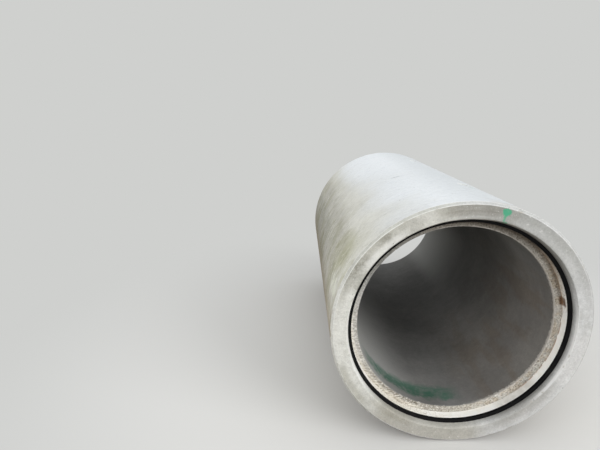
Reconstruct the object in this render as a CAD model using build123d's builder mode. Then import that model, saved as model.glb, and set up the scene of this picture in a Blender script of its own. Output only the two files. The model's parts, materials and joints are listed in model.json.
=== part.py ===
from build123d import *
import math
import os

# Concrete culvert pipe with an in-wall socket and tongue joint, lying on level ground.
# The pipe's axis runs along Y. The socket end faces -Y, the tongue end faces +Y.
# The origin is on the ground, under the middle of the pipe's whole length.

# Barrel
bore_radius = 500.0
wall = 145.0
laying_length = 2250.0  # socket face to tongue shoulder, what one pipe adds to a line

# Joint: the tongue of one pipe goes into the socket in the wall of the next
tongue_wall = 43.0  # thickness of the tongue
tongue_seal_length = 60.0  # its straight part, which the joint ring bears on
tongue_root_chamfer = 6.0
nose_wall = 28.0  # thickness of its nose, at the end of the tapered part
seal_gap = 12.0  # left all round between the tongue and the socket's seat, for the squeezed ring
mouth_flare = 5.0  # how far the socket wall opens between the joint ring and the face
socket_depth = 100.0  # socket face to the ledge
joint_gap = 5.0  # left between the tongue's nose and the ledge when two pipes are closed

# Edges
edge_chamfer = 12.0  # outer edges of both ends
mouth_chamfer = 6.0
bore_chamfer = 4.0

# Joint ring: a rubber wedge that stands out of the seat, with a dovetail root cast into the wall
ring_front = 34.0  # distance from the socket face
ring_width = 18.0
ring_height = 17.0
ring_toe = 12.0  # flat crest of the wedge
ring_lip = 3.0  # thickness of its front edge, where it meets the socket wall
root_depth = 12.0
root_neck = 8.0
root_foot = 12.0

# Lifting anchors: round-headed steel studs, each in a hemispherical recess
anchor_inset = 550.0  # from the socket face, and from the tongue shoulder
anchor_turn = 13.0  # degrees from the very top, towards +X, as the pipe has rolled
recess_radius = 37.0
head_sink = 11.0  # top of the head below the pipe's skin
head_radius = 12.5
head_height = 8.0
head_bevel = 2.0
head_neck_height = 6.0  # cone between the head and the shank
shank_radius = 7.0
foot_radius = 17.5
foot_height = 6.0
anchor_length = 85.0

# Left round what is cast in or laid in the concrete
cast_fit = 0.3

# Worked out
outer_radius = bore_radius + wall
tongue_length = socket_depth - joint_gap
overall_length = laying_length + tongue_length
tongue_radius = bore_radius + tongue_wall
seat_radius = tongue_radius + seal_gap  # socket wall where the joint ring and the foam ring sit
mouth_radius = seat_radius + mouth_flare
ring_back = ring_front + ring_width
ring_inner_radius = seat_radius - ring_height
socket_y = -overall_length / 2

# Half section through the axis: local x is the radius, local y the distance from the socket face
section = Plane(origin=(0, socket_y, outer_radius), x_dir=(1, 0, 0), z_dir=(0, 0, 1))
pipe_axis = Axis((0, 0, outer_radius), (0, 1, 0))


def anchor_axis_plane(distance):
    """Plane through an anchor: local x along the pipe, local y outwards, its origin on the pipe's skin."""
    turn = math.radians(anchor_turn)
    outwards = Vector(math.sin(turn), 0, math.cos(turn))
    skin = Vector(0, socket_y + distance, outer_radius) + outwards * outer_radius
    return Plane(origin=skin, x_dir=(0, 1, 0), z_dir=Vector(0, 1, 0).cross(outwards))


def anchor_points(room):
    """Half section of a lifting anchor, from its head down to its foot, with that much room round it."""
    top = room - head_sink
    head_low = -head_sink - head_height - room
    neck_low = head_low - head_neck_height
    foot_top = -head_sink - anchor_length + foot_height + room
    bottom = -head_sink - anchor_length - room
    return [
        (0, top),
        (head_radius - head_bevel + room, top),
        (head_radius + room, top - head_bevel),
        (head_radius + room, head_low),
        (shank_radius + room, neck_low),
        (shank_radius + room, foot_top),
        (foot_radius + room, foot_top),
        (foot_radius + room, bottom),
        (0, bottom),
    ]


def root_points(room):
    """Section of the joint ring's dovetail root, with that much room round it."""
    middle = (ring_front + ring_back) / 2
    neck = root_neck / 2 + room
    foot = root_foot / 2 + room
    return [
        (seat_radius - cast_fit - room, middle - neck),
        (seat_radius, middle - neck),
        (seat_radius + root_depth + room, middle - foot),
        (seat_radius + root_depth + room, middle + foot),
        (seat_radius, middle + neck),
        (seat_radius - cast_fit - room, middle + neck),
    ]


anchors = {
    "lifting_anchor_near": anchor_axis_plane(anchor_inset),
    "lifting_anchor_far": anchor_axis_plane(laying_length - anchor_inset),
}

# Concrete pipe
with BuildPart() as concrete_pipe:
    with BuildSketch(section):
        with BuildLine():
            Polyline(
                (outer_radius, edge_chamfer),
                (outer_radius - edge_chamfer, 0),
                (mouth_radius + mouth_chamfer, 0),
                (mouth_radius, mouth_chamfer),
                (seat_radius, ring_front),
                (seat_radius, socket_depth),
                (bore_radius + bore_chamfer, socket_depth),
                (bore_radius, socket_depth + bore_chamfer),
                (bore_radius, overall_length - bore_chamfer),
                (bore_radius + bore_chamfer, overall_length),
                (bore_radius + nose_wall, overall_length),
                (tongue_radius, laying_length + tongue_seal_length),
                (tongue_radius, laying_length),
                (outer_radius - edge_chamfer, laying_length),
                (outer_radius, laying_length - edge_chamfer),
                close=True,
            )
        make_face()
        tongue_root = vertices().sort_by_distance((tongue_radius, laying_length))[0]
        chamfer(tongue_root, tongue_root_chamfer)
    revolve(axis=pipe_axis)
    with BuildSketch(section):
        with BuildLine():
            Polyline(*root_points(cast_fit), close=True)
        make_face()
    revolve(axis=pipe_axis, mode=Mode.SUBTRACT)
    for plane in anchors.values():
        with Locations(plane):
            Sphere(recess_radius, mode=Mode.SUBTRACT)
        with BuildSketch(plane):
            with BuildLine():
                Polyline(*anchor_points(cast_fit), close=True)
            make_face()
        revolve(axis=Axis(plane.origin, plane.y_dir), mode=Mode.SUBTRACT)
concrete_pipe.part.label = "concrete_pipe"

# Joint ring
with BuildPart() as joint_gasket:
    with BuildSketch(section):
        with BuildLine():
            Polyline(
                (seat_radius - cast_fit, ring_front),
                (seat_radius - ring_lip, ring_front),
                (ring_inner_radius, ring_back - ring_toe),
                (ring_inner_radius, ring_back),
                (seat_radius - cast_fit, ring_back),
                close=True,
            )
        make_face()
        with BuildLine():
            Polyline(*root_points(0), close=True)
        make_face()
    revolve(axis=pipe_axis)
joint_gasket.part.label = "joint_gasket"

# Foam ring that holds the joint ring's room free in the socket until the next pipe comes
with BuildPart() as foam_ring:
    with BuildSketch(section):
        with BuildLine():
            Polyline(
                (ring_inner_radius, ring_back),
                (seat_radius - cast_fit, ring_back),
                (seat_radius - cast_fit, socket_depth),
                (ring_inner_radius, socket_depth),
                close=True,
            )
        make_face()
    revolve(axis=pipe_axis)
foam_ring.part.label = "foam_ring"

os.makedirs("parts", exist_ok=True)
export_step(concrete_pipe.part, "parts/concrete_pipe.step")
export_step(joint_gasket.part, "parts/joint_gasket.step")
export_step(foam_ring.part, "parts/foam_ring.step")

# Lifting anchors, head outwards
for name, plane in anchors.items():
    with BuildPart() as lifting_anchor:
        with BuildSketch(plane):
            with BuildLine():
                Polyline(*anchor_points(0), close=True)
            make_face()
        revolve(axis=Axis(plane.origin, plane.y_dir))
    lifting_anchor.part.label = name
    export_step(lifting_anchor.part, f"parts/{name}.step")
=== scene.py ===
import json
import math
import random
from typing import NamedTuple

import bmesh
import bpy
import numpy as np
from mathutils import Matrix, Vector, noise


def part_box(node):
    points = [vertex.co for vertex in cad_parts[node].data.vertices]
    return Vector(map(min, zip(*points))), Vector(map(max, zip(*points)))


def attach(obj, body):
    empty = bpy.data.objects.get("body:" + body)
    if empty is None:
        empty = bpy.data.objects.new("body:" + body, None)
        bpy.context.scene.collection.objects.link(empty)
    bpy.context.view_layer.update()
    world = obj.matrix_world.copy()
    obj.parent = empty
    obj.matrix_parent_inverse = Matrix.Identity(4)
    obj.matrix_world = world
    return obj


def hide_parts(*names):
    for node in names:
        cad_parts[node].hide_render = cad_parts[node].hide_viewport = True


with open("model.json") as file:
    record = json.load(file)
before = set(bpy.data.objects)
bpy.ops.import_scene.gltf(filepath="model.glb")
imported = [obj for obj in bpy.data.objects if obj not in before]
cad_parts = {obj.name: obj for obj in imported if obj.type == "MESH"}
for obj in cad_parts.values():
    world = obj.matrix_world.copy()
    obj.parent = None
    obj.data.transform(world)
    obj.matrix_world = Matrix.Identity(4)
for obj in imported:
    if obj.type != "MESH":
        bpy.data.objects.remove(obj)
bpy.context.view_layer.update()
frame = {"record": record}

# A place on the pipe is an angle from +X over the top, a radius from its axis and a distance from the
# socket face. Lengths are in metres unless a comment says mm.
MM = 0.001

# Sizes that come from the frame
mounts = {mount["name"]: mount for mount in frame["record"]["mounts"]}
pipe_low, pipe_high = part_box("concrete_pipe")
ring_low, ring_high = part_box("joint_gasket")
_, foam_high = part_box("foam_ring")
OUTER_R = (pipe_high.z - pipe_low.z) / 2
AXIS_Z = (pipe_high.z + pipe_low.z) / 2
SOCKET_Y = pipe_low.y
LENGTH = pipe_high.y - pipe_low.y
LAYING = mounts["tongue_shoulder"]["pos_m"][1] - SOCKET_Y
BORE_R = mounts["flow_bore"]["dims"]["r_mm"] * MM
TONGUE_R = mounts["tongue"]["dims"]["r_mm"] * MM
RING_FRONT = ring_low.y - SOCKET_Y
RING_BACK = ring_high.y - SOCKET_Y
LEDGE = foam_high.y - SOCKET_Y
LIFT_AXIS = Vector(mounts["lift_point_near"]["axis"])
LIFT_ANGLE = math.atan2(LIFT_AXIS.z, LIFT_AXIS.x)
LIFT_PLACES = [mounts[name]["pos_m"][1] - SOCKET_Y for name in ("lift_point_near", "lift_point_far")]

# Sizes of the joint that the frame doesn't state
SEAT_R = 555 * MM
MOUTH_R = 560 * MM
RING_R = 538 * MM
RING_TOE = 12 * MM
RING_LIP = 3 * MM
EDGE_CHAMFER = 12 * MM
RIM_R = OUTER_R - EDGE_CHAMFER
SEAL_LENGTH = 60 * MM
NOSE_R = BORE_R + 28 * MM
MOUTH_CURVE_DEEP = 14 * MM
MOUTH_CURVE_WIDE = 7 * MM
ROOT_NECK = 4.3 * MM
ROOT_FOOT = 6.3 * MM
ROOT_DEPTH = 12.3 * MM
CAST_FIT = 0.3 * MM

# Lifting anchor and its recess
RECESS_R = 37 * MM
HEAD_SINK = 11 * MM
HEAD_R = 12.5 * MM
HEAD_HEIGHT = 8 * MM
HEAD_BEVEL = 2 * MM
HEAD_NECK = 6 * MM
SHANK_R = 7 * MM
FOOT_R = 17.5 * MM
FOOT_HEIGHT = 6 * MM
ANCHOR_BOTTOM = HEAD_SINK + 85 * MM

# Mesh density: points round the pipe, near its ends and along its long surfaces
COARSE = 232
FINE = 3 * COARSE
RING_POINTS = 720  # round the joint ring and the foam ring
ANCHOR_POINTS = 48
ARC_STEPS = 3  # of a rounded corner
END_ZONE = 26 * MM
WINDOW_CELLS = 4  # cells of the coarse grid from a recess's middle to the border of its patch
WINDOW_ROW = 17 * MM

# Rows of points from either end of the barrel and of the bore, in mm
BARREL_GROWING = (3, 6, 10, 15, 24, 40, 66, 105, 160, 230, 300, 370, 430)
BORE_GROWING = (3, 7, 12, 18, 26, 44, 80, 140, 250)

# Slight unevenness of each surface, in mm
UNEVEN = {"barrel": 0.7, "chamfer": 0.5, "face": 0.5, "flare": 0.3, "seat": 0.0, "ledge": 1.3}
UNEVEN |= {"bore": 0.5, "nose": 0.6, "tongue": 0.3, "shoulder": 0.6, "recess": 0.0}
CHIP_REACH = 24 * MM  # from an edge, where points can move
DIAGONAL = math.sqrt(0.5)

# Camera, measured from the pipe and the ground
CAMERA_BEFORE_FACE = 1.9828
CAMERA_LEFT_OF_AXIS = 0.7935
CAMERA_HEIGHT = 1.7043
CAMERA_PITCH = math.radians(14.81)
FOCAL_LENGTH = 26.82
SENSOR_WIDTH = 36.0

# Light and floor
LAMP_WIDTH = 9.0
LAMP_HEIGHT = 6.0
LAMP_AWAY = 12.0
SKY_TINT = (0.965, 0.985, 1.0, 1.0)
SKY_LEVEL = 0.42
SKY_RISE = (-0.06, 0.12, 0.52)  # how much brighter it grows towards +X, +Y and +Z
FLOOR_HALF = 60.0
FADE_START = 1.2  # from the origin, where the floor begins to fade into the backdrop
FADE_END = 3.1


def srgb(red, green, blue):
    """The linear colour of an sRGB colour given from 0 to 255."""
    shares = [value / 255 for value in (red, green, blue)]
    return tuple(v / 12.92 if v <= 0.04045 else ((v + 0.055) / 1.055) ** 2.4 for v in shares) + (1.0,)


PAINT = (66, 164, 126)
BACKDROP = srgb(207, 208, 206)
FLOOR_SHOWN = srgb(216, 215, 212)
FLOOR_REFLECTED = srgb(116, 106, 94)


# Turned meshes


class Edge(NamedTuple):
    """One straight edge of a section, from its first corner on to the next edge's first corner."""

    radius: float
    distance: float
    surface: str
    rounding: float = 0.0  # of that first corner
    steps: tuple = ()  # shares of its length where it has rows of points


class Station(NamedTuple):
    """One ring of points of a turned mesh."""

    radius: float
    distance: float
    surface: str
    inward: tuple  # direction into the solid, as radius and distance


def even(count, ease=0.0):
    """Shares between 0 and 1 that cut a length into that many steps, closer at both ends with more ease."""
    shares = [i / count for i in range(1, count)]
    return tuple((1 - ease) * t + ease * (0.5 - 0.5 * math.cos(math.pi * t)) for t in shares)


def corner_arc(before, here, after, rounding):
    """Points of the arc that rounds a corner of a section, or the corner itself."""
    here = np.array(here)
    if not rounding:
        return [here]
    to_before = np.array(before) - here
    to_after = np.array(after) - here
    to_before /= np.linalg.norm(to_before)
    to_after /= np.linalg.norm(to_after)
    half = math.acos(float(np.clip(to_before @ to_after, -1, 1))) / 2
    reach = rounding / math.tan(half)
    start, end = here + to_before * reach, here + to_after * reach
    bisector = to_before + to_after
    centre = here + bisector / np.linalg.norm(bisector) * (rounding / math.sin(half))
    points = []
    for step in range(ARC_STEPS + 1):
        chord = start + (end - start) * step / ARC_STEPS - centre
        points.append(centre + chord / np.linalg.norm(chord) * rounding)
    return points


def stations_of(section):
    """The rings of points of a closed section. Its solid lies left of each edge, with the radius as x."""
    corners = [(edge.radius, edge.distance) for edge in section]
    arcs = []
    for i, edge in enumerate(section):
        after = corners[(i + 1) % len(corners)]
        arcs.append(corner_arc(corners[i - 1], corners[i], after, edge.rounding))
    rings = []
    for i, edge in enumerate(section):
        start, end = arcs[i][-1], arcs[(i + 1) % len(arcs)][0]
        along = (end - start) / np.linalg.norm(end - start)
        inward = np.array((along[1], -along[0]))
        back = arcs[i][0] - arcs[i - 1][-1]
        back_inward = np.array((back[1], -back[0])) / np.linalg.norm(back)
        last = len(arcs[i]) - 1
        for k, point in enumerate(arcs[i]):
            share = k / last if last else 0.5
            mixed = back_inward * (1 - share) + inward * share
            mixed /= np.linalg.norm(mixed)
            rings.append(Station(*point, edge.surface, tuple(mixed)))
        for share in edge.steps:
            rings.append(Station(*(start + (end - start) * share), edge.surface, tuple(inward)))
    return rings


def join_rings(few, many):
    """Faces between two closed rings of points, the second with as many points or three times as many."""
    count = len(few)
    faces = []
    for i in range(count):
        a, b = few[i], few[(i + 1) % count]
        if len(many) == count:
            faces.append((a, b, many[(i + 1) % count], many[i]))
            continue
        outer = [many[(3 * i + k) % len(many)] for k in range(4)]
        faces += [(a, outer[1], outer[0]), (a, b, outer[2], outer[1]), (b, outer[3], outer[2])]
    return faces


class Turned:
    """Points and faces of a solid turned about the pipe's axis, before its surface is roughened."""

    def __init__(self, rings, counts, first_angle=0.0):
        self.points = []  # angle, radius, distance
        self.inward = []  # as radius and distance
        self.surfaces = []
        self.faces = []
        self.face_surfaces = []
        self.rings = []
        for ring, count in zip(rings, counts):
            angles = first_angle + np.arange(count) * 2 * math.pi / count
            points = [(a, ring.radius, ring.distance) for a in angles]
            self.rings.append(self.add(points, ring.inward, ring.surface))
        for i, ring in enumerate(rings):
            a, b = self.rings[i], self.rings[(i + 1) % len(rings)]
            self.add_faces(join_rings(a, b) if len(a) <= len(b) else join_rings(b, a), ring.surface)

    def add(self, points, inward, surface):
        first = len(self.points)
        self.points += points
        self.inward += [inward] * len(points)
        self.surfaces += [surface] * len(points)
        return list(range(first, len(self.points)))

    def add_faces(self, faces, surface):
        self.faces += faces
        self.face_surfaces += [surface] * len(faces)

    def arrays(self):
        """Angles, radii and distances of all points, their places in the frame and directions inward."""
        angle, radius, distance = np.array(self.points).T
        return angle, radius, distance, to_frame(angle, radius, distance), np.array(self.inward)


def to_frame(angle, radius, distance):
    """Places in the row frame of points given by angle, radius and distance."""
    return np.stack([radius * np.cos(angle), SOCKET_Y + distance, AXIS_Z + radius * np.sin(angle)], axis=-1)


def noise_at(places, stretch, seed=0.0):
    """Smooth noise from -1 to 1 at each place, stretched by one scale or three."""
    return np.array([noise.noise(Vector(p)) for p in places * np.array(stretch) + seed])


def make_piece(name, places, faces, materials, face_slots=None, attributes=None):
    """A smooth-shaded object of those points and faces, with its normals turned outwards."""
    mesh = bpy.data.meshes.new(name)
    mesh.from_pydata([tuple(p) for p in places], [], faces)
    for material in materials:
        mesh.materials.append(material)
    if face_slots:
        mesh.polygons.foreach_set("material_index", np.array(face_slots, np.int32))
    mesh.polygons.foreach_set("use_smooth", np.ones(len(faces), bool))
    for label, values in (attributes or {}).items():
        mesh.attributes.new(label, "FLOAT", "POINT").data.foreach_set("value", np.array(values, np.float32))
    work = bmesh.new()
    work.from_mesh(mesh)
    bmesh.ops.recalc_face_normals(work, faces=work.faces)
    work.to_mesh(mesh)
    work.free()
    piece = bpy.data.objects.new(name, mesh)
    bpy.context.scene.collection.objects.link(piece)
    return piece


# Roughening of edges and faces


def chip_edge(angle, radius, distance, places, corner, bisector, chips, worn, seed):
    """How far each point moves along the bisector, so that the corner is worn and has those chips.
    A chip is its angle, half its length along the edge and its depth."""
    off_radius, off_distance = radius - corner[0], distance - corner[1]
    index = np.nonzero(np.hypot(off_radius, off_distance) < CHIP_REACH)[0]
    depth = worn * (0.35 + 0.65 * np.abs(noise_at(places[index], 19, seed)))
    for where, half, deep in chips:
        along = np.abs((angle[index] - where + math.pi) % (2 * math.pi) - math.pi) * corner[0] / half
        shape = np.clip(1 - along**2, 0, 1) ** 0.75
        depth = np.maximum(depth, shape * deep)
    depth = depth * (1 + 0.3 * noise_at(places[index], 210, seed + 7))
    into = off_radius[index] * bisector[0] + off_distance[index] * bisector[1]
    moved = np.zeros(len(angle))
    moved[index] = np.clip(depth - into, 0, None)
    return moved


def random_chips(seed, count, half, deep, spread=(0, 360)):
    """Chips at random angles, in degrees, with half lengths and depths between two sizes in mm."""
    draw = random.Random(seed)
    chips = []
    for _ in range(count):
        size = draw.random() ** 2.2
        where = math.radians(draw.uniform(*spread))
        length = half[0] + (half[1] - half[0]) * size * draw.uniform(0.7, 1.0)
        chips.append((where, length * MM, (deep[0] + (deep[1] - deep[0]) * size) * MM))
    return chips


def pit_depths(places, allowed, seed, count):
    """Depth of small round pits at random places in both end faces, where they are allowed."""
    draw = random.Random(seed)
    depth = np.zeros(len(places))
    index = np.nonzero(allowed)[0]
    for _ in range(count):
        turn = draw.uniform(0, 2 * math.pi)
        radius = draw.uniform(MOUTH_R + 6 * MM, OUTER_R - 16 * MM)
        size = draw.uniform(3.0, 5.5) * MM
        centre = to_frame(turn, radius, draw.choice((0.0, LAYING)))
        away = np.linalg.norm(places[index] - centre, axis=1) / size
        hit = away < 1
        depth[index[hit]] = np.maximum(depth[index[hit]], size * 0.45 * (1 - away[hit] ** 2))
    return depth


# Shader nodes


class Nodes:
    """The node tree of a material or world, whose nodes are added and linked by short calls."""

    def __init__(self, owner):
        owner.use_nodes = True
        self.tree = owner.node_tree

    def add(self, kind, settings=None, values=(), **named):
        """A new node. The values go to its first inputs, and _ in an input's name stands for a space."""
        node = self.tree.nodes.new("ShaderNode" + kind)
        for setting, value in (settings or {}).items():
            setattr(node, setting, value)
        for socket, value in zip(node.inputs, values):
            self.feed(socket, value)
        for name, value in named.items():
            self.feed(node.inputs[name.replace("_", " ")], value)
        return node

    def feed(self, socket, value):
        if isinstance(value, bpy.types.NodeSocket):
            self.tree.links.new(value, socket)
        else:
            socket.default_value = value

    def math(self, operation, a, b=0.0):
        return self.add("Math", {"operation": operation}, (a, b)).outputs[0]

    def range(self, value, low, high, low_out=0.0, high_out=1.0, smooth=True):
        settings = {"interpolation_type": "SMOOTHSTEP" if smooth else "LINEAR", "clamp": True}
        return self.add("MapRange", settings, (value, low, high, low_out, high_out)).outputs[0]

    def mix(self, share, a, b, blend="MIX"):
        node = self.add("Mix", {"data_type": "RGBA", "blend_type": blend, "clamp_factor": True}, (share,))
        self.feed(node.inputs[6], a)
        self.feed(node.inputs[7], b)
        return node.outputs[2]

    def both(self, *masks):
        """The product of the masks, 1 where all of them are."""
        product = masks[0]
        for mask in masks[1:]:
            product = self.math("MULTIPLY", product, mask)
        return product

    def seen(self):
        """1 for rays from the camera and for those by a mirror or through glass, 0 for the rest."""
        rays = self.add("LightPath").outputs
        clear = self.math("MAXIMUM", rays["Is Glossy Ray"], rays["Is Transmission Ray"])
        return self.math("MAXIMUM", rays["Is Camera Ray"], clear)

    def finish(self, output, share, first, second):
        """Sends the first shader to the output, with the second by that share."""
        mixed = self.add("MixShader", values=(share, first.outputs[0], second.outputs[0]))
        self.feed(self.tree.nodes[output].inputs["Surface"], mixed.outputs[0])


class Shader(Nodes):
    """A material of the pipe's pieces. Its colour is built up in layers."""

    def __init__(self, name, colour):
        self.material = bpy.data.materials.new(name)
        super().__init__(self.material)
        self.surface = self.tree.nodes["Principled BSDF"]
        self.colour = srgb(*colour)
        self.place = self.add("TexCoord").outputs["Object"]
        self.x, y, z = self.add("SeparateXYZ", Vector=self.place).outputs[:]
        self.height = self.math("SUBTRACT", z, AXIS_Z)
        self.distance = self.math("SUBTRACT", y, SOCKET_Y)
        self.radius = self.math("SQRT", self.squares(self.x, self.height))

    def cover(self, colour, share, *masks):
        """Lays a colour over that share of the present one where all masks are 1."""
        self.colour = self.mix(self.both(*masks, share), self.colour, srgb(*colour))

    def stain(self, tint, share, *masks):
        """Multiplies the colour by a tint where all masks are 1."""
        self.colour = self.mix(self.both(*masks, share), self.colour, srgb(*tint), blend="MULTIPLY")

    def shade(self, value):
        """Makes the colour lighter or darker by a value about 1."""
        self.colour = self.add("VectorMath", {"operation": "SCALE"}, (self.colour,), Scale=value).outputs[0]

    def vary(self, value, amount):
        """Lets noise from 0 to 1 make the colour lighter and darker by about that share."""
        self.shade(self.range(value, 0.25, 0.75, 1 - amount, 1 + amount, smooth=False))

    def stretched(self, stretch, shift):
        place = (shift, shift * 1.7, shift * 2.3)
        return self.add("Mapping", Vector=self.place, Location=place, Scale=stretch).outputs[0]

    def noise(self, scale, detail=4, roughness=0.55, shift=0, distortion=0):
        """Noise from 0 to 1. scale is one number, or three for x, y and z."""
        vector = self.stretched(scale if isinstance(scale, tuple) else (scale,) * 3, shift)
        settings = {"Scale": 1.0, "Detail": detail, "Roughness": roughness, "Distortion": distortion}
        return self.add("TexNoise", Vector=vector, **settings).outputs["Fac"]

    def blots(self, low, high, scale, *grain, least=0.0, **named):
        """A mask that rises from least to 1 as noise of that scale and grain goes from low to high."""
        return self.range(self.noise(scale, *grain, **named), low, high, least)

    def drift(self, value, noise, low, amount):
        """The value, moved by up to that amount down and up as noise goes from low to 1 - low."""
        return self.math("ADD", value, self.range(noise, low, 1 - low, -amount, amount, smooth=False))

    def fade(self, mask, at_none, at_full):
        """The mask with other values where it was 0 and where it was 1."""
        return self.range(mask, 0, 1, at_none, at_full)

    def squares(self, a, b):
        return self.math("ADD", self.math("POWER", a, 2), self.math("POWER", b, 2))

    def toward(self, angle):
        """How far places lie from the axis in the direction of that angle, in degrees."""
        turn = math.radians(angle)
        return self.math("ADD", self.both(self.x, math.cos(turn)), self.both(self.height, math.sin(turn)))

    def sector(self, middle, full, none):
        """1 within full degrees of the middle angle, falling to 0 at none degrees."""
        cosine = self.math("DIVIDE", self.toward(middle), self.radius)
        return self.range(cosine, math.cos(math.radians(none)), math.cos(math.radians(full)))

    def band(self, value, low, high, soft):
        """1 between low and high, fading out over soft on both sides."""
        return self.both(self.range(value, low - soft, low), self.range(value, high, high + soft, 1.0, 0.0))

    def oval(self, angle, value, middle, half_round, half_along):
        """Squared distance from the middle of an oval, at that angle and value, 1 at its border. In mm."""
        side = self.math("DIVIDE", self.toward(angle + 90), half_round * MM)
        along = self.math("DIVIDE", self.math("SUBTRACT", value, middle * MM), half_along * MM)
        return self.squares(side, along)

    def spot(self, angle, distance, *halves):
        """1 in the middle of an oval mark on a turned surface, 0 outside it. In mm."""
        away = self.oval(angle, self.distance, distance, *halves)
        return self.both(self.range(away, 0.3, 1, 1, 0), self.sector(angle, 80, 85))

    def dab(self, angle, radius, *halves):
        """A soft-edged dab of paint on an end face. In mm."""
        away = self.math("SQRT", self.oval(angle, self.radius, radius, *halves))
        return self.range(self.drift(away, self.noise(95, shift=4), 0.2, 0.35), 0.75, 1.15, 1, 0)

    def near_ring(self, radius, distance, full):
        """1 within full of the circle with that radius and distance, falling to 0 at 2.4 mm."""
        off_radius = self.math("SUBTRACT", self.radius, radius)
        off_distance = self.math("SUBTRACT", self.distance, distance)
        return self.range(self.math("SQRT", self.squares(off_radius, off_distance)), full, 2.4 * MM, 1, 0)

    def pores(self, cell, share, largest, shift):
        """Round pores up to that size, one in some of the cells."""
        vector = self.stretched((1 / cell,) * 3, shift)
        node = self.add("TexVoronoi", {"feature": "F1"}, Vector=vector, Scale=1.0, Randomness=1.0)
        chance = self.add("SeparateColor", Color=node.outputs["Color"]).outputs[0]
        size = self.range(chance, 1 - share, 1, 0, largest / cell, smooth=False)
        border = self.math("ADD", size, 1e-5)
        filled = self.range(node.outputs["Distance"], self.both(size, 0.55), border, 1, 0)
        return self.both(filled, self.math("GREATER_THAN", size, 1e-4))

    def bump(self, height, distance, under=None):
        node = self.add("Bump", Strength=1.0, Distance=distance, Height=height)
        if under is not None:
            self.feed(node.inputs["Normal"], under)
        return node.outputs[0]

    def end(self, normal, roughness, specular=0.3):
        self.feed(self.surface.inputs["Base Color"], self.colour)
        self.feed(self.surface.inputs["Normal"], normal)
        self.feed(self.surface.inputs["Roughness"], roughness)
        self.surface.inputs["Specular IOR Level"].default_value = specular
        return self.material


# Concrete


class Concrete(Shader):
    """The cast concrete that all surfaces of the pipe share: clouds, mottling, sand grain and pores."""

    def __init__(self, name, pale, dark, shift, contrast=1.0):
        super().__init__(name, dark)
        speckle = self.noise(115, 3, 0.6, shift + 5)
        sand = self.noise(620, 2, shift=shift + 6)
        self.cover(pale, 1, self.blots(0.36, 0.66, 2.3, 6, 0.62, shift))
        self.vary(self.noise(21, 5, 0.6, shift + 3), 0.055 * contrast)
        self.vary(speckle, 0.06 * contrast)
        self.vary(sand, 0.05 * contrast)
        chipped = {"attribute_name": "chipped", "attribute_type": "GEOMETRY"}
        self.chipped = self.add("Attribute", chipped).outputs["Fac"]
        small_pores = self.pores(0.011, 0.35, 0.0016, shift)
        large_pores = self.pores(0.045, 0.3, 0.0035, shift + 2)
        self.all_pores = self.math("MAXIMUM", small_pores, large_pores)
        self.relief = self.math("ADD", self.both(sand, 0.35), speckle)

    def done(self, rough=0.9, grain=0.0004):
        """Adds broken places, pores and the bump, and ends the material."""
        crumb = self.noise(260, 4, 0.7, shift=11)
        broken = self.mix(self.range(crumb, 0.38, 0.62), srgb(168, 163, 152), srgb(205, 202, 193))
        self.colour = self.mix(self.both(self.chipped, 0.8), self.colour, broken)
        self.shade(self.range(self.all_pores, 0, 1, 1, 0.5, smooth=False))
        normal = self.bump(self.relief, grain)
        normal = self.bump(self.both(self.all_pores, -1.0), 0.0012, under=normal)
        normal = self.bump(self.both(crumb, self.chipped), 0.0025, under=normal)
        return self.end(normal, rough)


# Scuffed places on the flanks: angle in degrees, distance and half widths round and along the pipe in mm
SCUFFS = (
    (154, 880, 80, 240),
    (143, 570, 50, 180),
    (154, 1540, 85, 400),
    (140, 1035, 45, 210),
    (167, 860, 115, 310),
    (150, 225, 52, 150),
    (161, 190, 80, 220),
    (144, 1300, 80, 300),
    (176, 1350, 70, 240),
    (24, 760, 90, 260),
    (6, 1640, 110, 300),
    (-8, 330, 80, 200),
)


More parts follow.
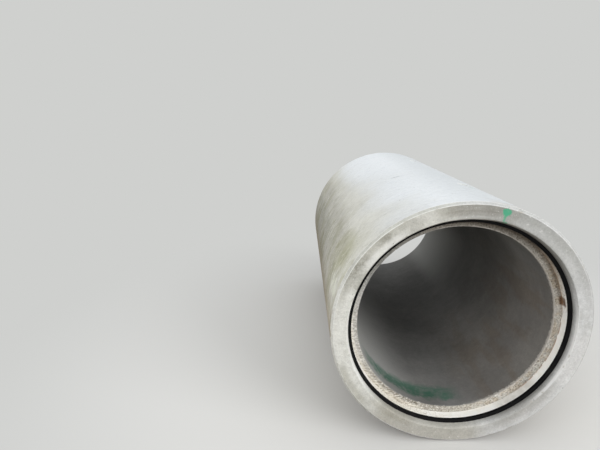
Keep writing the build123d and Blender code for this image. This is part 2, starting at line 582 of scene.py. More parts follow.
def barrel_concrete():
    """Barrel: painted sky reflection makes it cool and pale on top; olive grey on the flanks, with scuffs
    that run round the pipe.
    """
    c = Concrete("barrel_concrete", (218, 217, 209), (208, 207, 199), shift=0)
    level = c.math("DIVIDE", c.height, OUTER_R)
    drifting = c.drift(level, c.noise(2.6, 5, shift=8), 0.2, 0.09)
    flank = c.range(drifting, 0.9, 0.35)
    # Painted sky reflection: the top turns cool and pale.
    c.cover((231, 234, 236), 1, c.range(drifting, 0.7, 0.97))
    # Painted light: the top is paler still towards the far end.
    c.cover((240, 243, 245), 0.8, c.sector(100, 20, 40), c.range(c.distance, 0.7, 1.9))
    c.stain((234, 235, 235), 1, c.sector(58, 18, 46))
    c.vary(c.noise(42, 5, 0.66, 33), 0.05)
    c.vary(c.noise(88, 4, 0.7, 35), 0.04)
    c.stain((228, 228, 212), 0.85, flank, c.blots(0.4, 0.64, (5, 9, 5), 6, 0.62, 2))
    c.stain((220, 219, 210), 0.7, flank, c.blots(0.5, 0.62, (14, 24, 14), 6, 0.72, 1))
    c.stain((228, 227, 225), 1, c.sector(170, 22, 33), c.range(c.distance, 0.05, 0.45))
    c.stain((238, 239, 240), 1, c.sector(166, 7, 15), c.range(c.distance, 0.5, 1.1))
    c.stain((240, 240, 230), 1, c.spot(151, 330, 150, 210))
    scuffed = 0.0
    for scuff in SCUFFS:
        scuffed = c.math("MAXIMUM", scuffed, c.spot(*scuff))
    ragged = c.blots(0.42, 0.64, (6, 9, 6), 4, 0.7, 9)
    c.cover((246, 246, 238), 0.62, c.blots(0.53, 0.62, (7, 82, 7), 4, 0.65, 31), ragged, scuffed)
    c.cover((244, 243, 234), 0.45, c.blots(0.62, 0.66, (22, 140, 22), 3, shift=37), flank)
    ripples = c.blots(0.58, 0.68, (11, 90, 11), 4, 0.6, 59)
    c.stain((229, 231, 234), 0.6, ripples, c.range(drifting, 0.5, 0.8))
    c.stain((214, 213, 207), 0.55, c.blots(0.62, 0.67, (36, 70, 36), 4, 0.7, 43))
    c.vary(c.noise((16, 74, 16), 4, 0.65, 41), 0.024)
    c.stain((212, 200, 184), 0.95, c.range(level, 0.25, -0.15))
    c.stain((238, 236, 233), 0.95, c.range(level, 0.45, 0.1), c.range(c.distance, 0.35, 1.3))
    fine_rings = c.noise((5, 260, 5), 3, shift=17)
    c.vary(fine_rings, 0.015)
    wandering = c.drift(c.distance, c.noise((8, 14, 8), 5, 0.65, 77), 0.3, 0.05)
    by_edge = c.range(wandering, 135 * MM, 15 * MM)
    c.stain((241, 234, 228), 1, by_edge, c.sector(72, 4, 13))
    c.stain((245, 244, 242), 1, by_edge, c.sector(120, 8, 16))
    c.stain((232, 229, 224), 1, by_edge, c.sector(182, 5, 11))
    c.cover((226, 228, 212), 0.8, c.spot(164.5, 175, 62, 135), c.blots(0.44, 0.56, (9, 24, 9), 5, 0.7))
    c.stain((180, 183, 186), 0.75, c.band(c.distance, 0.884, 0.892, 4 * MM), c.sector(106, 1.6, 3.0))
    c.cover(PAINT, 0.22, c.spot(75, 470, 26, 60), c.blots(0.4, 0.6, 50))
    # Pale lines along both rims of the barrel: worn edges and painted highlight.
    for distance in (EDGE_CHAMFER, LAYING - EDGE_CHAMFER):
        rim = c.near_ring(OUTER_R, distance, 0.8 * MM)
        c.cover((246, 247, 244), 0.85, rim, c.blots(0.3, 0.45, 30, shift=5))
    c.relief = c.math("ADD", c.relief, c.both(fine_rings, 0.8))
    return c.done(rough=0.85)


def end_concrete():
    """Socket face, chamfer and flare: pale grey, darker on top and, by painted shade, at the bottom, with
    green paint and with painted light and shade round the mouth.
    """
    c = Concrete("end_concrete", (214, 215, 215), (205, 206, 205), shift=5, contrast=1.7)
    c.vary(c.noise(70, 4, 0.7, 18), 0.1)
    c.vary(c.noise(190, 3, 0.7, 19), 0.08)
    everywhere = 1.0
    face = c.range(c.radius, RIM_R + 1 * MM, RIM_R - 4 * MM)
    outer = c.both(face, c.range(c.radius, 586 * MM, 612 * MM))
    inner = c.both(face, c.range(c.radius, 604 * MM, 582 * MM))
    lip = c.range(c.radius, MOUTH_R + 8 * MM, MOUTH_R + 1 * MM)
    blotches = c.range(c.math("ADD", c.noise(13, shift=3), c.noise(60, 7, 0.8, 67)), 0.86, 1.14)
    half_blotched = c.both(face, c.fade(blotches, 0.5, 1))
    # Stains and painted shade: middle angle, degrees from it to where each is full and to its end, tint,
    # share and place
    for middle, full, none, tint, share, where in (
        (165, 50, 80, (254, 253, 246), 1, everywhere),
        (62, 22, 48, (224, 224, 222), 0.9, face),
        (42, 24, 36, (239, 239, 238), 1, outer),
        (15, 9, 18, (242, 242, 242), 1, everywhere),
        (-15, 8, 18, (248, 247, 246), 1, everywhere),
        (62, 12, 26, (240, 240, 239), 1, face),
        (90, 8, 18, (220, 218, 214), 0.9, c.both(face, outer)),
        (90, 12, 24, (229, 228, 224), 0.9, face),
        (91, 8, 15, (234, 232, 230), 1, c.band(c.radius, 584 * MM, 602 * MM, 8 * MM)),
        (122, 7, 14, (216, 215, 212), 0.9, half_blotched),
        (144, 14, 27, (210, 209, 204), 0.9, c.both(outer, c.fade(blotches, 0.65, 1))),
        (150, 6, 12, (216, 215, 212), 1, half_blotched),
        (-150, 8, 16, (226, 225, 221), 1, outer),
        # Painted shade: the face darker at the bottom, towards the ground.
        (-104, 19, 36, (208, 204, 194), 0.95, face),
        (-126, 8, 18, (240, 239, 236), 1, inner),
        (-52, 8, 28, (205, 203, 199), 1, c.range(c.radius, 632 * MM, 575 * MM, 0.4)),
    ):
        c.stain(tint, share, c.sector(middle, full, none), where)
    c.cover((228, 228, 225), 0.5, c.sector(134, 7, 14), inner)
    c.stain((232, 231, 227), 0.5, c.blots(0.52, 0.7, 9, 6, 0.7, 6, 0.6))
    c.stain((168, 166, 160), 0.75, c.blots(0.65, 0.69, 64, 5, 0.75, 47), face)
    c.cover((232, 232, 230), 0.5, c.blots(0.62, 0.67, 52, 5, 0.75, 53), face)
    mark = 0.0
    for share, dab in ((1, (75.9, 612.5, 21, 18.5)), (0.85, (75.9, 585, 6, 20)), (0.7, (75.1, 565, 13, 5))):
        mark = c.math("MAXIMUM", mark, c.both(c.dab(*dab), share))
    c.cover(PAINT, 0.9, mark, c.blots(0.3, 0.5, 60, shift=12, least=0.6), c.sector(76, 6, 10))
    on_chamfer = c.range(c.radius, RIM_R, RIM_R + 3 * MM)
    c.stain((224, 224, 222), 1, on_chamfer, c.fade(c.sector(-165, 28, 50), 1, 0))
    # Pale lines along the face's outer edge and the chamfer's edge: worn edges and painted highlight.
    face_edge = c.both(c.near_ring(RIM_R, 0, 0.6 * MM), c.sector(165, 65, 85))
    edges = c.math("MAXIMUM", face_edge, c.near_ring(OUTER_R, EDGE_CHAMFER, 0.6 * MM))
    c.cover((226, 227, 224), 0.7, edges, c.blots(0.3, 0.5, 24, shift=5))
    lit = c.range(c.radius, MOUTH_R + 10 * MM, MOUTH_R + 3 * MM)
    c.cover((240, 240, 238), 0.7, c.sector(-16, 16, 34), lit, c.range(c.distance, 15 * MM, 7 * MM))
    # Painted light: the left of the mouth's lip is paler.
    c.cover((246, 246, 242), 0.75, c.sector(-172, 18, 32), lip)
    # Painted shade: the mouth's lip is darker at the upper left.
    c.stain((162, 161, 160), 1, c.sector(136, 5, 13), lip)
    # Painted light: the top of the mouth's lip is paler.
    c.cover((244, 244, 242), 0.7, c.sector(91, 4, 12), lip)
    # Painted shade: the mouth is darker at the upper right.
    c.stain((212, 211, 209), 1, c.sector(57, 21, 38), c.range(c.radius, MOUTH_R + 16 * MM, MOUTH_R - 1 * MM))
    # Painted shade: the flare is darker towards the joint ring, on the right side and the top.
    painted_shade_by_ring = c.range(c.distance, RING_FRONT - 20 * MM, RING_FRONT - 1 * MM)
    c.stain((186, 184, 181), 0.85, c.sector(6, 62, 88), painted_shade_by_ring)
    return c.done()


def ledge_concrete():
    """Seat and ledge: rough, peppered with pale and dark grains, and dirty at the upper right."""
    c = Concrete("ledge_concrete", (198, 195, 188), (184, 181, 174), shift=9, contrast=1.6)
    crumbs = c.noise(120, 5, 0.75, 2)
    calm = c.sector(180, 50, 75)
    strength = c.fade(calm, 1, 0.75)
    c.stain((242, 247, 252), 1, calm)
    c.cover((232, 230, 224), 0.85, c.range(crumbs, 0.53, 0.6), strength)
    c.cover((104, 97, 89), 0.8, c.range(crumbs, 0.46, 0.38), strength)
    c.vary(c.noise(58, 4, 0.65, 14), 0.14)
    c.stain((158, 148, 136), 0.85, c.sector(62, 34, 60), c.range(c.radius, 512 * MM, 532 * MM, 0.2))
    c.stain((190, 187, 182), 0.85, c.sector(100, 34, 62))
    c.cover((224, 221, 215), 0.5, c.sector(-158, 30, 48))
    c.cover((244, 240, 231), 0.7, c.sector(-146, 32, 44), c.range(c.radius, 518 * MM, 528 * MM))
    c.stain((224, 221, 215), 1, c.sector(-112, 26, 58))
    c.stain((220, 217, 213), 1, c.sector(-124, 8, 22), c.range(c.radius, 524 * MM, 514 * MM))
    low_left = c.sector(-142, 34, 58)
    drawn = c.noise((55, 55, 160), 5, 0.75, 71)
    c.stain((188, 178, 168), 0.75, c.range(drawn, 0.5, 0.4), low_left)
    c.cover((252, 250, 244), 0.7, c.range(drawn, 0.55, 0.62), low_left)
    c.cover((252, 250, 244), 0.4, c.range(crumbs, 0.55, 0.62), low_left)
    c.stain((238, 227, 212), 0.8, c.sector(-15, 45, 70), c.blots(0.42, 0.6, 24, shift=6))
    c.stain((158, 122, 92), 0.9, c.sector(12.4, 1.5, 3.2), c.range(c.radius, 521 * MM, 532 * MM))
    lip = c.both(c.range(c.radius, 509 * MM, 502 * MM), c.blots(0.36, 0.5, 46, shift=25))
    c.cover((224, 221, 214), 0.75, c.sector(42, 50, 74), lip)
    return c.done(grain=0.0016)


def bore_concrete():
    """Bore: smooth and dark, brown at the lower right, with a sprayed green band; painted light makes it
    paler at the left and at the far end on the right, and painted shade darkens it deeper in at the upper
    right.
    """
    c = Concrete("bore_concrete", (129, 128, 125), (117, 116, 114), shift=13, contrast=1.3)
    c.vary(c.noise(48, 5, 0.68, 19), 0.08)
    c.vary(c.noise((2.4, 30, 2.4), 6, 0.6, 4), 0.03)
    c.vary(c.noise((6, 4, 6), 5, 0.6, 7), 0.06)
    rusty = c.fade(c.blots(0.42, 0.62, (9, 2.5, 9), shift=23), 0.4, 1)
    c.stain((240, 226, 212), 0.8, c.sector(-25, 30, 62), c.range(c.distance, 1.3, 0.5), rusty)
    # Painted light: the left wall is paler, most near the socket.
    c.cover((162, 162, 159), 1, c.sector(180, 42, 80), c.range(c.distance, 0.4, 2.0, 0.75, 0.5))
    # Painted shade: the upper right is darker deeper in.
    c.stain((222, 222, 220), 1, c.sector(25, 45, 75), c.range(c.distance, 0.25, 1.0))
    # Painted light: the right wall is paler towards the far end, as if lit through the far opening.
    c.cover((182, 182, 178), 0.75, c.sector(-22, 16, 36), c.range(c.distance, 1.2, 2.0))
    spray = c.noise(22, 5, 0.65, 15)
    band = c.band(c.drift(c.distance, spray, 0.2, 34 * MM), 0.186, 0.236, 0.055)
    c.cover((34, 96, 74), 0.78, band, c.sector(-116, 24, 40), c.range(spray, 0.3, 0.62, 0.45))
    c.stain((222, 222, 220), 0.9, c.sector(-114, 14, 26), c.range(c.distance, 0.26, 0.16))
    crumbled = c.drift(c.distance, c.noise(75, 4, 0.7, 61), 0.25, 12 * MM)
    c.cover((196, 190, 182), 0.75, c.sector(-8, 48, 74), c.range(crumbled, LEDGE + 15 * MM, LEDGE + 9 * MM))
    by_ledge = c.range(c.distance, LEDGE + 45 * MM, LEDGE + 5 * MM)
    c.cover((206, 202, 192), 0.8, c.sector(32, 20, 30), c.blots(0.58, 0.66, 135, 3, shift=29), by_ledge)
    return c.done(rough=0.8, grain=0.00025)


def tongue_concrete():
    """Tongue end: form-smooth concrete, a little lighter than the bore."""
    c = Concrete("tongue_concrete", (202, 202, 195), (188, 188, 180), shift=21)
    c.stain((222, 218, 206), 0.7, c.blots(0.52, 0.7, 6, 6, 0.7, 6, 0.5))
    c.stain((222, 210, 192), 0.6, c.sector(-90, 25, 60))
    return c.done()


def recess_concrete():
    """Lifting recess: smooth as the former left it, darker and browner towards its bottom below the anchor's
    head.
    """
    c = Concrete("recess_concrete", (222, 224, 222), (208, 210, 206), shift=27)
    deep = c.range(c.math("SUBTRACT", OUTER_R, c.radius), 18 * MM, 36 * MM)
    c.stain((190, 176, 156), 0.9, deep, c.blots(0.3, 0.6, 55, shift=3, least=0.3))
    return c.done(grain=0.0009)


def mouth_curve():
    """Curve that leads from the face into the flare of the socket: steep at the face, then easing out."""
    flare = (MOUTH_R - SEAT_R) / RING_FRONT
    inner = MOUTH_R - flare * MOUTH_CURVE_DEEP
    edges = []
    for share in (0.0, 0.12, 0.26, 0.42, 0.6, 0.8, 1.0):
        radius = inner + MOUTH_CURVE_WIDE * (1 - share) ** 1.6
        edges.append(Edge(radius, MOUTH_CURVE_DEEP * share, "flare", 0.0 if share else 2.2 * MM))
    return edges


def barrel_shares():
    """Where the barrel has rows of points: close near its ends, and even round the recesses."""
    start, end = EDGE_CHAMFER, LAYING - EDGE_CHAMFER
    rows = [start + step * MM for step in BARREL_GROWING] + [end - step * MM for step in BARREL_GROWING]
    half = WINDOW_CELLS * WINDOW_ROW
    near, far = LIFT_PLACES
    for place in LIFT_PLACES:
        rows += [place - half + i * WINDOW_ROW for i in range(2 * WINDOW_CELLS + 1)]
    rows += [near + half + (far - near - 2 * half) * share for share in even(13)]
    return tuple(sorted(1 - (row - start) / (end - start) for row in rows))


def bore_shares():
    """Where the bore has rows of points: close near its ends."""
    bore = LENGTH - LEDGE
    rows = [step * MM for step in BORE_GROWING]
    rows += [rows[-1] + (bore - 2 * rows[-1]) * share for share in even(14)]
    rows += [bore - step * MM for step in reversed(BORE_GROWING)]
    return tuple(row / bore for row in rows)


def pipe_section():
    """Section of the concrete, from the barrel's socket-end corner over the face, the bore and back."""
    middle = (RING_FRONT + RING_BACK) / 2
    return [
        Edge(OUTER_R, EDGE_CHAMFER, "chamfer", 2.2 * MM, even(4)),
        Edge(RIM_R, 0.0, "face", 1.8 * MM, even(14, 0.5)),
        *mouth_curve(),
        Edge(SEAT_R, RING_FRONT, "seat"),
        Edge(SEAT_R, middle - ROOT_NECK, "seat"),
        Edge(SEAT_R + ROOT_DEPTH, middle - ROOT_FOOT, "seat"),
        Edge(SEAT_R + ROOT_DEPTH, middle + ROOT_FOOT, "seat"),
        Edge(SEAT_R, middle + ROOT_NECK, "seat", steps=even(3)),
        Edge(SEAT_R, LEDGE, "ledge", steps=even(12, 0.3)),
        Edge(BORE_R, LEDGE, "bore", 3.2 * MM, bore_shares()),
        Edge(BORE_R, LENGTH, "nose", 3.2 * MM, even(4, 0.5)),
        Edge(NOSE_R, LENGTH, "tongue", 1.8 * MM, even(3, 0.5)),
        Edge(TONGUE_R, LAYING + SEAL_LENGTH, "tongue", 1.5 * MM, even(4, 0.5)),
        Edge(TONGUE_R, LAYING, "shoulder", 5.0 * MM, even(7, 0.6)),
        Edge(RIM_R, LAYING, "shoulder", 1.8 * MM, even(3)),
        Edge(OUTER_R, LAYING - EDGE_CHAMFER, "barrel", 2.2 * MM, barrel_shares()),
    ]


def ring_count(ring):
    """Points in one ring: many near the ends, fewer along the barrel, the bore and the seat."""
    low, high = (LEDGE, LENGTH) if ring.surface == "bore" else (0.0, LAYING)
    inside = low + END_ZONE < ring.distance < high - END_ZONE
    return COARSE if ring.surface == "seat" or ring.surface in ("barrel", "bore") and inside else FINE


def perimeter():
    """Rows and columns of the square border of a recess's patch, counted from its middle."""
    n = WINDOW_CELLS
    half = [(n, j) for j in range(-n, n)] + [(i, n) for i in range(n, -n, -1)]
    return half + [(-i, -j) for i, j in half]


def open_recess(body, place):
    """Replaces a square of the barrel's grid by a patch with a round recess and the anchor's hole."""
    n = WINDOW_CELLS

    def off(ring):
        return body.points[ring[0]][2] - place

    rows = [ring for ring in body.rings if body.surfaces[ring[0]] == "barrel" and len(ring) == COARSE]
    rows = sorted((ring for ring in rows if abs(off(ring)) < (n + 0.5) * WINDOW_ROW), key=off)
    border = [rows[i + n][j] for i, j in perimeter()]
    inner = {rows[i + n][j] for i in range(1 - n, n) for j in range(1 - n, n)}
    kept = [k for k, face in enumerate(body.faces) if not inner.intersection(face)]
    body.faces = [body.faces[k] for k in kept]
    body.face_surfaces = [body.face_surfaces[k] for k in kept]

    square = np.array([(off(rows[i + n]), j * 2 * math.pi / COARSE * OUTER_R) for i, j in perimeter()])
    following = np.roll(square, -1, axis=0)
    outline = np.concatenate([[a + (b - a) * k / 3 for k in range(3)] for a, b in zip(square, following)])
    reach = np.linalg.norm(outline, axis=1)
    direction = outline / reach[:, None]
    before = border

    def add_ring(points, surface, inward=(0.0, 0.0)):
        nonlocal before
        ring = body.add(points, inward, surface)
        body.add_faces(join_rings(before, ring), surface)
        before = ring

    for share in (0.62, 0.34, 0.15, 0.05, 0.0):
        size = RECESS_R + 0.8 * MM + (reach - RECESS_R) * share
        along, across = direction.T * size
        points = [(LIFT_ANGLE + c / OUTER_R, OUTER_R, place + a) for a, c in zip(along, across)]
        add_ring(points, "barrel", (-1.0, 0.0))

    def sunk(radius, depth):
        """Ring about the anchor's axis with that radius, that far below the tangent plane of the skin."""
        along, across = direction.T * radius
        outward = OUTER_R - depth
        angle = LIFT_ANGLE + np.arctan2(across, outward)
        return list(zip(angle, np.hypot(across, outward), place + along))

    fall = OUTER_R - np.sqrt(OUTER_R**2 - (direction[:, 1] * RECESS_R) ** 2)
    shank, foot = SHANK_R + CAST_FIT, FOOT_R + CAST_FIT
    lowest = math.acos(shank / RECESS_R)
    for share in (0.0, 0.03, 0.1, 0.2, 0.32, 0.45, 0.58, 0.7, 0.82, 0.92, 1.0):
        turn = np.arcsin((fall + 0.5 * MM) / RECESS_R) * (1 - share) + lowest * share
        add_ring(sunk(RECESS_R * np.cos(turn), RECESS_R * np.sin(turn)), "recess")
    foot_top = ANCHOR_BOTTOM - FOOT_HEIGHT - CAST_FIT
    for radius, depth in ((shank, foot_top), (foot, foot_top), (foot, ANCHOR_BOTTOM + CAST_FIT)):
        add_ring(sunk(radius, depth), "recess")
    body.add_faces([tuple(before)], "recess")


def pipe_edges():
    """Worn edges: corner, direction into the solid, lots of random chips and wear in mm."""
    steep, flat = math.cos(math.radians(22.5)), math.sin(math.radians(22.5))
    mouth = (MOUTH_R + 4 * MM, 0.0)
    ledge_chips = ((6, 170, (2.5, 10), (1.8, 6.0)), (12, 26, (5, 16), (2.5, 5.0), (12, 62)))
    return (
        ((OUTER_R, EDGE_CHAMFER), (-steep, flat), ((3, 30, (4, 22), (0.5, 2.2)),), 0.5),
        ((RIM_R, 0.0), (-flat, steep), ((4, 34, (4, 20), (0.5, 2.0)),), 0.5),
        (mouth, (DIAGONAL, DIAGONAL), ((5, 46, (3, 14), (0.5, 2.6)),), 0.5),
        ((BORE_R, LEDGE), (DIAGONAL, DIAGONAL), ledge_chips, 2.2),
        ((BORE_R, LENGTH), (DIAGONAL, -DIAGONAL), ((7, 30, (4, 22), (1.6, 5.0)),), 1.6),
        ((NOSE_R, LENGTH), (-0.55, -0.83), ((8, 24, (4, 24), (1.0, 4.5)),), 0.9),
        ((RIM_R, LAYING), (-flat, -steep), ((9, 30, (4, 24), (0.5, 2.5)),), 0.5),
        ((OUTER_R, LAYING - EDGE_CHAMFER), (-steep, -flat), ((10, 30, (4, 24), (0.5, 2.5)),), 0.5),
    )


def make_pipe():
    rings = stations_of(pipe_section())
    body = Turned(rings, [ring_count(ring) for ring in rings], first_angle=LIFT_ANGLE)
    for place in LIFT_PLACES:
        open_recess(body, place)
    angle, radius, distance, places, inward = body.arrays()
    surfaces = np.array(body.surfaces)

    # Slight unevenness and pits, always into the solid
    amplitude = np.array([UNEVEN[surface] for surface in body.surfaces]) * MM
    broad = noise_at(places, (3, 12, 3), 2.0)
    close = noise_at(places, 38, 5.0)
    depth = amplitude * (0.5 + 0.3 * broad + 0.2 * close)
    rough_spots = noise_at(places, 120, 9.0) * (surfaces == "ledge") * 0.7 * MM
    depth = np.clip(depth + rough_spots, 0, None) * (surfaces != "recess")
    flat = (surfaces == "face") | (surfaces == "shoulder")
    depth = np.maximum(depth, pit_depths(places, flat, 41, 70))
    move = inward * depth[:, None]

    chipped = np.zeros(len(angle))
    for number, (corner, bisector, lots, wear) in enumerate(pipe_edges()):
        chips = [chip for lot in lots for chip in random_chips(*lot)]
        worn = wear * MM
        cut = chip_edge(angle, radius, distance, places, corner, bisector, chips, worn, number * 3.1)
        move += cut[:, None] * np.array(bisector)
        chipped = np.maximum(chipped, np.clip((cut - worn * 0.6) / (1.2 * MM), 0, 1))

    materials = {
        barrel_concrete: ("barrel",),
        end_concrete: ("chamfer", "face", "flare"),
        ledge_concrete: ("seat", "ledge"),
        bore_concrete: ("bore",),
        tongue_concrete: ("nose", "tongue", "shoulder"),
        recess_concrete: ("recess",),
    }
    slots = {surface: slot for slot, surfaces in enumerate(materials.values()) for surface in surfaces}
    piece = make_piece(
        "pipe_body",
        to_frame(angle, radius + move[:, 0], distance + move[:, 1]),
        body.faces,
        [make() for make in materials],
        [slots[surface] for surface in body.face_surfaces],
        {"chipped": chipped},
    )
    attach(piece, "root")
    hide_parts("concrete_pipe")


# Joint ring, foam ring and anchors


def rubber():
    """Deep black rubber with a little dust on its front slope and cement along its lip."""
    s = Shader("joint_rubber", (5, 5, 6))
    dust = s.both(s.blots(0.45, 0.75, 14, 5, shift=2), s.blots(0.35, 0.65, 160, 3, least=0.4))
    s.cover((74, 72, 69), 0.14, dust, s.fade(s.sector(50, 24, 44), 1, 0.2))
    lip = s.both(s.range(s.radius, SEAT_R - 4.5 * MM, SEAT_R - 1.5 * MM), s.blots(0.5, 0.62, 32, shift=7))
    s.cover((110, 108, 102), 0.4, lip, s.sector(-165, 60, 90))
    normal = s.bump(s.math("ADD", s.noise(420, 3), s.noise((9, 120, 9), 3)), 0.0003)
    return s.end(normal, s.range(s.noise(24, 3, shift=5), 0.3, 0.7, 0.6, 0.75), specular=0.12)


def make_joint_ring():
    middle = (RING_FRONT + RING_BACK) / 2
    neck, foot, depth = ROOT_NECK - CAST_FIT, ROOT_FOOT - CAST_FIT, ROOT_DEPTH - CAST_FIT
    wall = SEAT_R - CAST_FIT
    rings = stations_of([
        Edge(wall, RING_FRONT, "ring"),
        Edge(SEAT_R - RING_LIP, RING_FRONT, "ring", 0.6 * MM, even(6)),
        Edge(RING_R, RING_BACK - RING_TOE, "ring", 3.5 * MM, even(3)),
        Edge(RING_R, RING_BACK, "ring", 0.8 * MM, even(3)),
        Edge(wall, RING_BACK, "ring"),
        Edge(wall, middle + neck, "ring"),
        Edge(SEAT_R + depth, middle + foot, "ring"),
        Edge(SEAT_R + depth, middle - foot, "ring"),
        Edge(wall, middle - neck, "ring"),
    ])
    body = Turned(rings, [RING_POINTS] * len(rings))
    angle, radius, distance, places, inward = body.arrays()
    exposed = np.clip((SEAT_R - 1 * MM - radius) / (4 * MM), 0, 1)
    wave = 0.35 * MM * (1 + noise_at(places, 14, 3.0)) * exposed
    radius = radius + np.abs(inward[:, 0]) * wave
    piece = make_piece("joint_ring", to_frame(angle, radius, distance), body.faces, [rubber()])
    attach(piece, "root")
    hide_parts("joint_gasket")


def foam():
    """White foam of fused beads with brown dirt at the upper right, darker and greyer on top, and painted
    shade just behind the joint ring at the upper right and upper left.
    """
    s = Shader("foam", (247, 244, 236))
    tone = s.noise(22, 5, shift=3)
    front = s.range(s.distance, RING_BACK + 20 * MM, RING_BACK + 8 * MM)
    back = s.range(s.distance, RING_BACK + 8 * MM, LEDGE - 12 * MM)
    smudged = s.range(s.distance, RING_BACK + 6 * MM, RING_BACK + 18 * MM)
    smudged = s.both(smudged, s.range(s.noise(60), 0.3, 0.5, 0.6, 0.9))
    line = s.both(s.range(s.distance, LEDGE - 10 * MM, LEDGE - 3 * MM), s.blots(0.34, 0.55, 30, shift=6))
    s.cover((254, 253, 249), 1, s.range(tone, 0.35, 0.65))
    # Marks: middle angle, degrees from it to where each is full and to its end, colour, share and mask
    for middle, full, none, colour, share, mask in (
        (-121.5, 4, 8, (214, 196, 150), 0.9, s.blots(0.35, 0.55, 80, 3)),
        (-50, 7, 16, (222, 219, 213), 1, s.blots(0.3, 0.6, 30, shift=9, least=0.5)),
        (-124, 8, 22, (240, 236, 225), 0.9, 1.0),
        # Painted shade: the foam just behind the joint ring, at the upper left.
        (146, 14, 24, (200, 198, 194), 1, front),
        (32, 14, 28, (168, 138, 102), 0.55, s.both(back, s.blots(0.38, 0.6, (60, 90, 60), 5, 0.7, 5))),
        (30, 16, 28, (70, 50, 34), 0.8, s.blots(0.56, 0.63, (40, 130, 40), 4, 0.7, 25)),
        (62, 20, 50, (154, 137, 114), 0.72, s.blots(0.3, 0.6, 16, 5, 0.65, 5, least=0.5)),
        (12.4, 1.5, 3.2, (104, 72, 46), 1, smudged),
        (105, 45, 75, (126, 116, 102), 0.85, s.blots(0.3, 0.6, 12, shift=8, least=0.6)),
        # Painted shadow: the foam behind the joint ring, at the upper right.
        (64, 10, 20, (44, 38, 32), 0.9, 1.0),
        (4, 44, 58, (150, 108, 66), 0.8, line),
        (-140, 34, 56, (166, 150, 134), 0.5, s.blots(0.52, 0.6, 105, 4, 0.7, 33)),
    ):
        s.cover(colour, share, s.sector(middle, full, none), mask)
    beads = s.add("TexVoronoi", {"feature": "F1"}, Vector=s.place, Scale=260.0, Randomness=0.9)
    normal = s.bump(s.both(beads.outputs["Distance"], -1.0), 0.0009)
    normal = s.bump(tone, 0.002, under=normal)
    return s.end(normal, s.range(tone, 0.3, 0.7, 0.82, 0.95), specular=0.2)


def make_foam_ring():
    outer = SEAT_R - CAST_FIT
    rings = stations_of([
        Edge(RING_R, RING_BACK, "foam", 0.8 * MM, even(12, 0.5)),
        Edge(RING_R, LEDGE, "foam", 1.2 * MM, even(4)),
        Edge(outer, LEDGE, "foam", steps=even(3)),
        Edge(outer, RING_BACK, "foam", steps=even(3)),
    ])
    body = Turned(rings, [RING_POINTS] * len(rings))
    angle, radius, distance, places, inward = body.arrays()
    exposed = np.clip((RING_R + 8 * MM - radius) / (8 * MM), 0, 1)
    depth = (0.5 + 0.4 * noise_at(places, (16, 30, 16), 4.0) + 0.25 * noise_at(places, 90, 6.0)) * MM
    move = inward * (np.clip(depth, 0, None) * exposed)[:, None]
    torn = random_chips(15, 34, (4, 26), (1.5, 5.0)) + [(math.radians(-119), 26 * MM, 7 * MM)]
    bisector = (DIAGONAL, -DIAGONAL)
    cut = chip_edge(angle, radius, distance, places, (RING_R, LEDGE), bisector, torn, 1.2 * MM, 2.0)
    move += cut[:, None] * np.array(bisector)
    radius = np.minimum(radius + move[:, 0], outer)
    piece = make_piece("foam_liner", to_frame(angle, radius, distance + move[:, 1]), body.faces, [foam()])
    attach(piece, "root")
    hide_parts("foam_ring")


def steel():
    """Dull forged steel, rusted where water stands."""
    s = Shader("anchor_steel", (128, 126, 122))
    rust = s.blots(0.42, 0.6, 130, 5, 0.65, 3)
    s.cover((112, 72, 44), 1, rust)
    s.feed(s.surface.inputs["Metallic"], s.range(rust, 0, 1, 0.85, 0.1, smooth=False))
    normal = s.bump(s.noise(500), 0.0004)
    return s.end(normal, s.range(rust, 0, 1, 0.42, 0.85, smooth=False), specular=0.5)


def make_anchor(name, node, place, material):
    """A round-headed anchor turned about its own axis, head outwards."""
    head_low = HEAD_SINK + HEAD_HEIGHT
    profile = [(0.0, HEAD_SINK)]
    for turn in (math.radians(18 * step) for step in range(6)):
        radius = HEAD_R - HEAD_BEVEL * (1 - math.sin(turn))
        profile.append((radius, HEAD_SINK + HEAD_BEVEL * (1 - math.cos(turn))))
    profile += [
        (HEAD_R, head_low - 0.5 * MM),
        (HEAD_R - 0.4 * MM, head_low),
        (SHANK_R + 1.5 * MM, head_low + HEAD_NECK * 0.7),
        (SHANK_R, head_low + HEAD_NECK),
        (SHANK_R, ANCHOR_BOTTOM - FOOT_HEIGHT),
        (FOOT_R, ANCHOR_BOTTOM - FOOT_HEIGHT),
        (FOOT_R, ANCHOR_BOTTOM),
        (0.0, ANCHOR_BOTTOM),
    ]
    outward = Vector((math.cos(LIFT_ANGLE), 0, math.sin(LIFT_ANGLE)))
    across = Vector((-math.sin(LIFT_ANGLE), 0, math.cos(LIFT_ANGLE)))
    skin = Vector((0, SOCKET_Y + place, AXIS_Z)) + outward * OUTER_R
    places, faces, rings = [], [], []
    for radius, depth in profile:
        count = ANCHOR_POINTS if radius else 1
        rings.append([len(places) + i for i in range(count)])
        for i in range(count):
            turn = 2 * math.pi * i / ANCHOR_POINTS
            spoke = Vector((0, 1, 0)) * math.cos(turn) + across * math.sin(turn)
            places.append(tuple(skin - outward * depth + spoke * radius))
    for a, b in zip(rings, rings[1:]):
        for i in range(ANCHOR_POINTS):
            k = (i + 1) % ANCHOR_POINTS
            corners = (a[i % len(a)], b[i % len(b)], b[k % len(b)], a[k % len(a)])
            faces.append(tuple(dict.fromkeys(corners)))  # a triangle at the middle of the head and the foot
    piece = make_piece(name, places, faces, [material])
    piece.data.set_sharp_from_angle(angle=math.radians(40))
    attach(piece, "root")
    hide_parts(node)


# Floor, light and camera


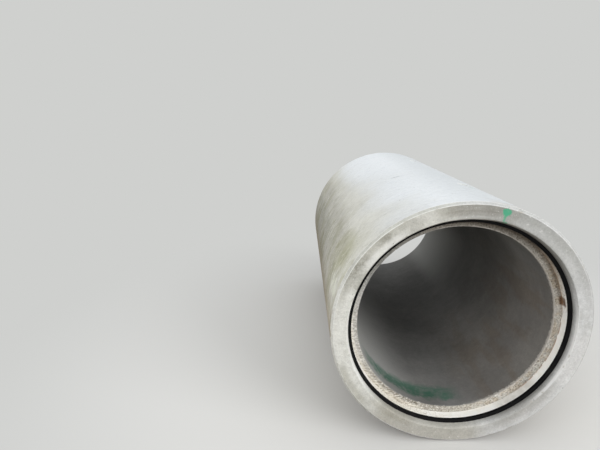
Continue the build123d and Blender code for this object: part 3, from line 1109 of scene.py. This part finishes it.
def make_floor():
    """A plain pale floor that fades into the backdrop and reflects less light than it shows."""
    mesh = bpy.data.meshes.new("floor")
    corners = [(x * FLOOR_HALF, y * FLOOR_HALF, 0) for x, y in ((-1, -1), (1, -1), (1, 1), (-1, 1))]
    mesh.from_pydata(corners, [], [(0, 1, 2, 3)])
    floor = bpy.data.objects.new("floor", mesh)
    bpy.context.scene.collection.objects.link(floor)
    material = bpy.data.materials.new("floor")
    nodes = Nodes(material)
    seen = nodes.seen()
    surface = nodes.tree.nodes["Principled BSDF"]
    nodes.feed(surface.inputs["Base Color"], nodes.mix(seen, FLOOR_REFLECTED, FLOOR_SHOWN))
    surface.inputs["Roughness"].default_value = 0.95
    surface.inputs["Specular IOR Level"].default_value = 0.1
    place = nodes.add("NewGeometry").outputs["Position"]
    away = nodes.add("VectorMath", {"operation": "LENGTH"}, (place,)).outputs["Value"]
    faded = nodes.both(nodes.range(away, FADE_START, FADE_END), seen)
    nodes.finish("Material Output", faded, surface, nodes.add("Emission", Color=BACKDROP))
    mesh.materials.append(material)


def make_sky():
    """An overcast sky: brightest overhead, a little brighter behind the pipe, pale to the camera."""
    world = bpy.data.worlds.new("sky")
    bpy.context.scene.world = world
    nodes = Nodes(world)
    direction = nodes.add("TexCoord").outputs["Generated"]
    rise = nodes.add("VectorMath", {"operation": "DOT_PRODUCT"}, (direction, SKY_RISE)).outputs["Value"]
    light = nodes.tree.nodes["Background"]
    light.inputs["Color"].default_value = SKY_TINT
    nodes.feed(light.inputs["Strength"], nodes.math("ADD", rise, SKY_LEVEL))
    pale = nodes.add("Background", Color=BACKDROP, Strength=1.0)
    nodes.finish("World Output", nodes.seen(), light, pale)


def make_lamp(name, direction, power):
    """A large soft lamp in front of the pipe, in that direction from the middle of its face."""
    lamp = bpy.data.lights.new(name, "AREA")
    lamp.shape = "RECTANGLE"
    lamp.size = LAMP_WIDTH
    lamp.size_y = LAMP_HEIGHT
    lamp.energy = power
    holder = bpy.data.objects.new(name, lamp)
    target = Vector((0, SOCKET_Y, AXIS_Z))
    holder.location = target + Vector(direction).normalized() * LAMP_AWAY
    holder.rotation_mode = "QUATERNION"
    holder.rotation_quaternion = (target - holder.location).to_track_quat("-Z", "Y")
    holder.visible_camera = False
    bpy.context.scene.collection.objects.link(holder)


def make_camera():
    camera = bpy.data.objects.new("camera", bpy.data.cameras.new("camera"))
    camera.data.lens = FOCAL_LENGTH
    camera.data.sensor_width = SENSOR_WIDTH
    camera.data.sensor_fit = "HORIZONTAL"
    camera.data.clip_end = 200.0
    camera.location = (-CAMERA_LEFT_OF_AXIS, SOCKET_Y - CAMERA_BEFORE_FACE, CAMERA_HEIGHT)
    camera.rotation_euler = (math.pi / 2 - CAMERA_PITCH, 0, 0)
    bpy.context.scene.collection.objects.link(camera)
    bpy.context.scene.camera = camera


make_camera()
make_pipe()
make_joint_ring()
make_foam_ring()
anchor_metal = steel()
make_anchor("anchor_near", "lifting_anchor_near", LIFT_PLACES[0], anchor_metal)
make_anchor("anchor_far", "lifting_anchor_far", LIFT_PLACES[1], anchor_metal)
make_floor()
make_sky()
make_lamp("right_softbox", (0.72, -0.6, 0.35), 1050.0)
make_lamp("left_softbox", (-0.66, -0.66, 0.35), 670.0)
bpy.context.scene.view_settings.view_transform = "Standard"
